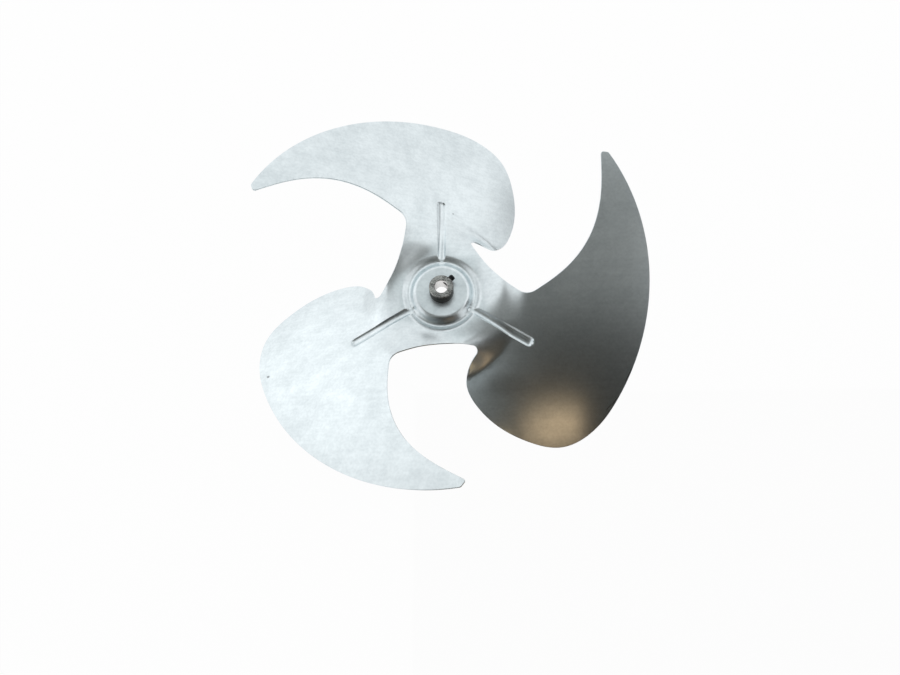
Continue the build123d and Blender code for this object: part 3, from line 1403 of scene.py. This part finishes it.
@dataclass
class HubBush:
    """The turned bush: seat on the boss, spigot through the sheet, collar and tapped hole."""

    bore: float = 6.35
    radius: float = 12.0
    spigot: float = 9.0
    collar: float = 11.0
    seat: float = 3.3
    top: float = 18.1
    sheet: float = 1.5
    collar_height: float = 2.6
    chamfer: float = 0.8
    bore_chamfer: float = 0.5
    rounds: tuple[tuple[int, float], ...] = (
        (2, 0.3), (3, 0.3), (8, 0.35), (9, 0.3), (10, 0.12), (11, 0.12))
    tap_radius: float = 3.2
    tap_root: float = 0.42
    tap_pitch: float = 1.27
    tap_height: float = 12.0
    tap_bearing: float = 42.0
    tap_inset: float = 0.6
    tap_start: float = -2.0
    tap_end: float = 14.0
    tap_segments: int = 40
    pits: tuple[tuple[float, float], ...] = ((-5.7, -6.5), (4.8, -7.5))
    pit_radius: float = 0.75
    pit_lift: float = 0.25
    pit_detail: int = 3
    segments: int = 120
    sharp: float = 32.0
    finish: BushFinish = field(default_factory=BushFinish)

    def profile(self) -> list[tuple[float, float]]:
        """Draw the section of the bush.

        Returns:
            The closed section as radii and heights.
        """
        under = self.seat - self.sheet
        foot = under - self.collar_height
        mouth = self.bore + self.bore_chamfer
        corners = [
            (self.bore, foot + self.bore_chamfer), (mouth, foot),
            (self.collar - self.chamfer, foot), (self.collar, foot + self.chamfer),
            (self.collar, under), (self.spigot, under),
            (self.spigot, self.seat), (self.radius, self.seat),
            (self.radius, self.top - self.chamfer), (self.radius - self.chamfer, self.top),
            (mouth, self.top), (self.bore, self.top - self.bore_chamfer)]
        return softened(corners, dict(self.rounds))

    def tap(self) -> bpy.types.Object:
        """Make the threaded cutter of the tapped hole.

        Returns:
            The cutter, on the screw's axis.
        """
        z, rows = self.tap_start, [(self.tap_radius, self.tap_start)]
        while z < self.tap_end:
            rows += [(self.tap_radius - self.tap_root, z + self.tap_pitch * 0.5),
                     (self.tap_radius, z + self.tap_pitch)]
            z += self.tap_pitch
        rings = [circle(r, height, self.tap_segments) for r, height in rows]
        cutter = new_object("tap_cutter", capped_rings("tap_cutter", rings, self.tap_start, z))
        reach = self.bore * self.tap_inset
        cutter.data.transform(screw_axis(self.tap_bearing, self.tap_height, reach))
        return cutter

    def punch(self, x: float, y: float) -> bpy.types.Object:
        """Make the round-nosed cutter of one small pit in the end face.

        Args:
            x: first plan coordinate of the pit.
            y: second plan coordinate of the pit.

        Returns:
            The cutter.
        """
        mesh = bpy.data.meshes.new("punch")
        body = bmesh.new()
        place = Matrix.Translation(Vector((x, y, self.top + self.pit_lift)) * MM)
        bmesh.ops.create_icosphere(
            body, subdivisions=self.pit_detail, radius=self.pit_radius * MM, matrix=place)
        body.to_mesh(mesh)
        body.free()
        return new_object("punch", mesh)

    def build(self) -> bpy.types.Object:
        """Build and dress the bush, which stands for the CAD bush.

        Returns:
            The bush.
        """
        piece = new_object("turned_bush", lathe("turned_bush", self.profile()[::-1], self.segments))
        for cutter in [self.tap()] + [self.punch(x, y) for x, y in self.pits]:
            cut = piece.modifiers.new("cut", "BOOLEAN")
            cut.operation, cut.solver, cut.object = "DIFFERENCE", "EXACT", cutter
            baked(piece)
            bpy.data.objects.remove(cutter)
        shade_by_angle(piece, self.sharp)
        piece.data.materials.clear()
        piece.data.materials.append(self.finish.make())
        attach(piece, ROOT)
        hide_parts("hub_bush")
        log.info("turned bush: %d faces", len(piece.data.polygons))
        return piece


def screw_axis(bearing: float, height: float, reach: float) -> Matrix:
    """Lay a piece modelled along Z on the screw's axis.

    Args:
        bearing: the axis' bearing.
        height: the axis' height.
        reach: distance from the bore axis at which the piece starts.

    Returns:
        The matrix, in metres.
    """
    outward = Vector((*polar(1.0, bearing), 0.0))
    up = Vector((0.0, 0.0, 1.0))
    side = up.cross(outward)
    turn = Matrix((side, up, outward)).transposed().to_4x4()
    return Matrix.Translation((outward * reach + up * height) * MM) @ turn


def shade_by_angle(piece: bpy.types.Object, angle: float) -> None:
    """Mark edges that turn by more than an angle as sharp."""
    piece.data.shade_smooth()
    piece.data.set_sharp_from_angle(angle=math.radians(angle))


@dataclass
class SetScrew:
    """The socket set screw, backed out as the photograph shows it."""

    radius: float = 3.175
    length: float = 9.5
    recess: float = 1.2
    bore: float = 6.35
    bearing: float = 42.0
    height: float = 12.0
    cup: tuple[tuple[float, float], ...] = ((0.9, 0.35), (1.5, 0.0))
    cup_depth: float = 0.75
    nose: float = 0.45
    crown: tuple[tuple[float, float], ...] = ((0.0, 0.5), (0.3, 0.05), (0.45, 0.0))
    mouth: tuple[tuple[float, float], ...] = ((1.12, 0.0), (1.0, 0.18))
    socket_flat: float = 3.2
    socket_depth: float = 3.6
    socket_cone: float = 0.7
    pitch: float = 1.27
    thread_depth: float = 0.55
    thread_steps: int = 36
    ridge_sides: int = 4
    end_chamfer: float = 0.6
    segments: int = 48
    sharp: float = 35.0
    finish: ScrewFinish = field(default_factory=ScrewFinish)

    def hexagon(self, z: float, scale: float) -> list[tuple[float, float, float]]:
        """Give the points of a hexagonal ring.

        Args:
            z: the ring's height.
            scale: its size against the socket's.

        Returns:
            As many points as a round ring has.
        """
        points = []
        for angle in np.linspace(0.0, 2 * math.pi, self.segments, endpoint=False):
            local = (angle % (math.pi / 3)) - math.pi / 6
            radius = scale * self.socket_flat / 2 / math.cos(local)
            points.append((radius * math.cos(angle), radius * math.sin(angle), z))
        return points

    def body(self) -> bpy.types.Object:
        """Make the core with its cup point and hexagon socket.

        Returns:
            The core without its thread, along Z.
        """
        core, end = self.radius - self.thread_depth, self.length
        bottom = end - self.socket_depth
        rows = [*self.cup, (core - self.nose, 0.0), (core, self.nose)]
        rows += [(core - inset, end - drop) for inset, drop in self.crown]
        rings = [circle(radius, z, self.segments) for radius, z in rows]
        rings += [self.hexagon(end - drop, scale) for scale, drop in self.mouth]
        rings.append(self.hexagon(bottom, 1.0))
        mesh = capped_rings("socket_screw", rings, self.cup_depth, bottom - self.socket_cone)
        return new_object("socket_screw", mesh)

    def threaded(self, body: bpy.types.Object, material: bpy.types.Material) -> bpy.types.Object:
        """Wind a thread ridge round the core.

        Args:
            body: the core.
            material: the screw's material.

        Returns:
            The same piece with its thread.
        """
        tree = NodeTree("thread")
        names = ("Core radius", "Crest", "Turns", "Length")
        core, crest, turns, length = (tree.size(name, "NodeSocketFloat") for name in names)
        metal = tree.size("Metal", "NodeSocketMaterial")
        spiral = tree.add("GeometryNodeCurveSpiral", {}, {
            "Resolution": self.thread_steps, "Rotations": turns, "Start Radius": core,
            "End Radius": core, "Height": length})
        lifted = tree.add("GeometryNodeTransform", {}, {
            "Geometry": spiral.outputs[0], "Translation": (0.0, 0.0, self.end_chamfer * MM)})
        ridge = tree.add("GeometryNodeCurvePrimitiveCircle", {"mode": "RADIUS"}, {
            "Resolution": self.ridge_sides, "Radius": crest})
        wound = tree.add("GeometryNodeCurveToMesh", {}, {
            "Curve": lifted.outputs[0], "Profile Curve": ridge.outputs[0], "Fill Caps": True})
        joined = tree.add("GeometryNodeJoinGeometry")
        for part in (tree.source.outputs["Geometry"], wound.outputs[0]):
            tree.tree.links.new(part, joined.inputs[0])
        tree.close(joined.outputs[0], metal)
        run = self.length - 2 * self.end_chamfer
        return tree.run(body, {
            "Core radius": (self.radius - self.thread_depth) * MM,
            "Crest": self.thread_depth * MM, "Turns": run / self.pitch,
            "Length": run * MM, "Metal": material})

    def build(self) -> bpy.types.Object:
        """Build and dress the screw, which stands for the CAD screw.

        Returns:
            The screw.
        """
        piece = self.threaded(self.body(), self.finish.make())
        piece.data.transform(screw_axis(self.bearing, self.height, self.bore + self.recess))
        shade_by_angle(piece, self.sharp)
        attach(piece, ROOT)
        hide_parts("set_screw")
        log.info("socket screw: %d faces", len(piece.data.polygons))
        return piece


# Studio


@dataclass(frozen=True)
class SoftBox:
    """One round white area lamp that looks at the object."""

    name: str
    place: tuple[float, float, float]
    size: float
    power: float

    def build(self) -> None:
        """Put the lamp in the scene."""
        data = bpy.data.lights.new(self.name, "AREA")
        data.shape, data.size, data.energy = "DISK", self.size, self.power
        lamp = bpy.data.objects.new(self.name, data)
        lamp.location = self.place
        lamp.rotation_euler = (-Vector(self.place)).to_track_quat("-Z", "Y").to_euler()
        bpy.context.scene.collection.objects.link(lamp)


def rectangle(name: str, width: float, height: float, z: float) -> bpy.types.Object:
    """Lay a flat rectangle across the axis.

    Args:
        name: its name.
        width: its size along X, in metres.
        height: its size along Y, in metres.
        z: its height, in metres.

    Returns:
        The rectangle.
    """
    x, y = width / 2, height / 2
    corners = np.array([(-x, -y, z), (x, -y, z), (x, y, z), (-x, y, z)])
    return new_object(name, mesh_from(name, corners / MM, [(0, 1, 2, 3)]))


@dataclass(frozen=True)
class Card:
    """A flat card of one plain tone that the metal mirrors, hidden from the camera."""

    name: str
    place: tuple[float, float, float]
    width: float
    height: float
    colour: tuple[float, float, float]
    lying: bool = False

    def build(self) -> None:
        """Put the card in the scene, lying on the floor or facing the object."""
        card = rectangle(self.name, self.width, self.height, 0.0)
        facing = Vector((0.0, 0.0, 1.0)) if self.lying else -Vector(self.place)
        turn = facing.to_track_quat("Z", "Y").to_matrix().to_4x4()
        card.data.transform(Matrix.Translation(self.place) @ turn)
        graph = ShaderGraph(self.name)
        card.data.materials.append(graph.finish({
            "Base Color": (0.0, 0.0, 0.0, 1.0), "Roughness": 1.0,
            "Emission Color": (*self.colour, 1.0), "Emission Strength": 1.0}))
        card.visible_camera = False
        card.visible_shadow = False


@dataclass
class Studio:
    """The floor, the light and the camera."""

    floor_height: float = -0.0606
    floor_size: float = 4.0
    elevation: float = 74.82
    roll: float = 3.10
    turn: float = -2.69
    shift: tuple[float, float] = (-8.3, 44.8)
    distance: float = 600.0
    image_width: int = 900
    sensor: float = 36.0
    clip_start: float = 0.01
    floor_colour: float = 0.93
    floor_glow: float = 0.975
    floor_roughness: float = 0.9
    room_light: float = 0.80
    boxes: tuple[SoftBox, ...] = (
        SoftBox("overhead", (0.1, 0.5, 1.5), 1.6, 1.0),
        SoftBox("right_back", (1.2, 0.6, 0.7), 1.0, 0.3),
        SoftBox("left_back", (-1.15, 0.95, 0.48), 1.2, 0.9),
    )
    cards: tuple[Card, ...] = (
        Card("grey_ceiling", (0.0, 0.32, 1.15), 1.0, 1.0, (0.71, 0.74, 0.74)),
        Card("grey_front", (-0.02, -0.36, 1.08), 1.5, 0.90, (0.20, 0.20, 0.19)),
        Card("dark_front", (-0.03, -0.82, 0.70), 1.85, 0.56, (0.010, 0.008, 0.005)),
        Card("dark_low", (0.05, -1.03, 0.26), 2.0, 0.66, (0.014, 0.013, 0.010)),
        Card("dim_left", (-0.46, -0.66, 0.52), 0.46, 0.46, (0.24, 0.25, 0.24)),
        Card("dim_right", (1.10, 0.25, 0.06), 1.2, 0.30, (0.05, 0.055, 0.055)),
        Card("dim_east", (1.02, -0.18, 0.42), 0.50, 0.46, (0.08, 0.085, 0.085)),
        Card("warm_low", (0.094, -0.247, 0.038), 0.094, 0.060, (0.80, 0.55, 0.32)),
        Card("warm_rim", (0.046, -0.165, -0.048), 0.032, 0.016, (1.0, 0.74, 0.44)),
        Card("dark_near", (0.050, -0.130, 0.014), 0.090, 0.030, (0.030, 0.027, 0.022)),
        Card("dark_table", (0.46, -0.46, -0.0602), 0.98, 0.74, (0.035, 0.030, 0.024), True),
    )

    @staticmethod
    def shown(nodes: bpy.types.Nodes, links: bpy.types.NodeLinks,
              share: float) -> bpy.types.NodeSocket:
        """Give a share to rays from the camera and to those that mirror or pass through.

        Args:
            nodes: the nodes of the shader.
            links: its links.
            share: the value for these rays.

        Returns:
            The socket that carries the share.
        """
        path = nodes.new("ShaderNodeLightPath")
        total = path.outputs["Is Camera Ray"]
        for name in ("Is Glossy Ray", "Is Transmission Ray"):
            both = nodes.new("ShaderNodeMath")
            both.operation, both.use_clamp = "ADD", True
            links.new(total, both.inputs[0])
            links.new(path.outputs[name], both.inputs[1])
            total = both.outputs[0]
        scaled = nodes.new("ShaderNodeMath")
        scaled.operation = "MULTIPLY"
        scaled.inputs[1].default_value = share
        links.new(total, scaled.inputs[0])
        return scaled.outputs[0]

    def floor(self) -> None:
        """Lay the floor, which shows white and keeps a faint shadow."""
        floor = rectangle("floor", self.floor_size, self.floor_size, self.floor_height)
        graph = ShaderGraph("floor")
        tone = self.floor_colour
        material = graph.finish({
            "Base Color": (tone, tone, tone, 1.0), "Roughness": self.floor_roughness})
        nodes, links = graph.tree.nodes, graph.tree.links
        output = next(node for node in nodes if node.type == "OUTPUT_MATERIAL")
        matte = output.inputs["Surface"].links[0].from_socket
        glow, mix = nodes.new("ShaderNodeEmission"), nodes.new("ShaderNodeMixShader")
        links.new(self.shown(nodes, links, self.floor_glow), mix.inputs[0])
        links.new(matte, mix.inputs[1])
        links.new(glow.outputs[0], mix.inputs[2])
        links.new(mix.outputs[0], output.inputs["Surface"])
        floor.data.materials.append(material)

    def sky(self) -> None:
        """Light the room evenly and show white behind the object."""
        world = bpy.data.worlds.new("room")
        bpy.context.scene.world = world
        world.use_nodes = True
        nodes, links = world.node_tree.nodes, world.node_tree.links
        nodes.clear()
        plain, white = nodes.new("ShaderNodeBackground"), nodes.new("ShaderNodeBackground")
        for light, strength in ((plain, self.room_light), (white, 1.0)):
            light.inputs["Color"].default_value = (1.0, 1.0, 1.0, 1.0)
            light.inputs["Strength"].default_value = strength
        mix, output = nodes.new("ShaderNodeMixShader"), nodes.new("ShaderNodeOutputWorld")
        links.new(self.shown(nodes, links, 1.0), mix.inputs[0])
        links.new(plain.outputs[0], mix.inputs[1])
        links.new(white.outputs[0], mix.inputs[2])
        links.new(mix.outputs[0], output.inputs["Surface"])

    @staticmethod
    def spin(angle: float) -> np.ndarray:
        """Give the matrix of a turn about Z."""
        cos, sin = math.cos(angle), math.sin(angle)
        return np.array([[cos, -sin, 0.0], [sin, cos, 0.0], [0.0, 0.0, 1.0]])

    def camera(self) -> None:
        """Set the camera at the photograph's viewing angle."""
        e, roll, turn = (math.radians(v) for v in (self.elevation, self.roll, self.turn))
        view = np.array([[1, 0, 0], [0, math.sin(e), math.cos(e)], [0, -math.cos(e), math.sin(e)]])
        rows = self.spin(roll) @ view @ self.spin(turn)
        centre = rows.T @ np.array([-self.shift[0], -self.shift[1], self.distance]) * MM
        data = bpy.data.cameras.new("camera")
        data.sensor_width = self.sensor
        data.lens = self.distance / self.image_width * self.sensor
        data.clip_start = self.clip_start
        camera = bpy.data.objects.new("camera", data)
        matrix = Matrix(rows.T.tolist()).to_4x4()
        matrix.translation = Vector(centre.tolist())
        camera.matrix_world = matrix
        bpy.context.scene.collection.objects.link(camera)
        bpy.context.scene.camera = camera

    def build(self) -> None:
        """Build the whole studio."""
        bpy.context.scene.view_settings.view_transform = "Standard"
        self.camera()
        self.floor()
        self.sky()
        for box in self.boxes:
            box.build()
        for card in self.cards:
            card.build()


def main() -> None:
    """Build the studio and the three pieces."""
    logging.basicConfig(level=logging.INFO, format="%(name)s: %(message)s")
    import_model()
    Studio().build()
    for part in (PressedSheet(), HubBush(), SetScrew()):
        piece = part.build()
        log.info("%s is in place", piece.name)


if __name__ == "__main__":
    main()
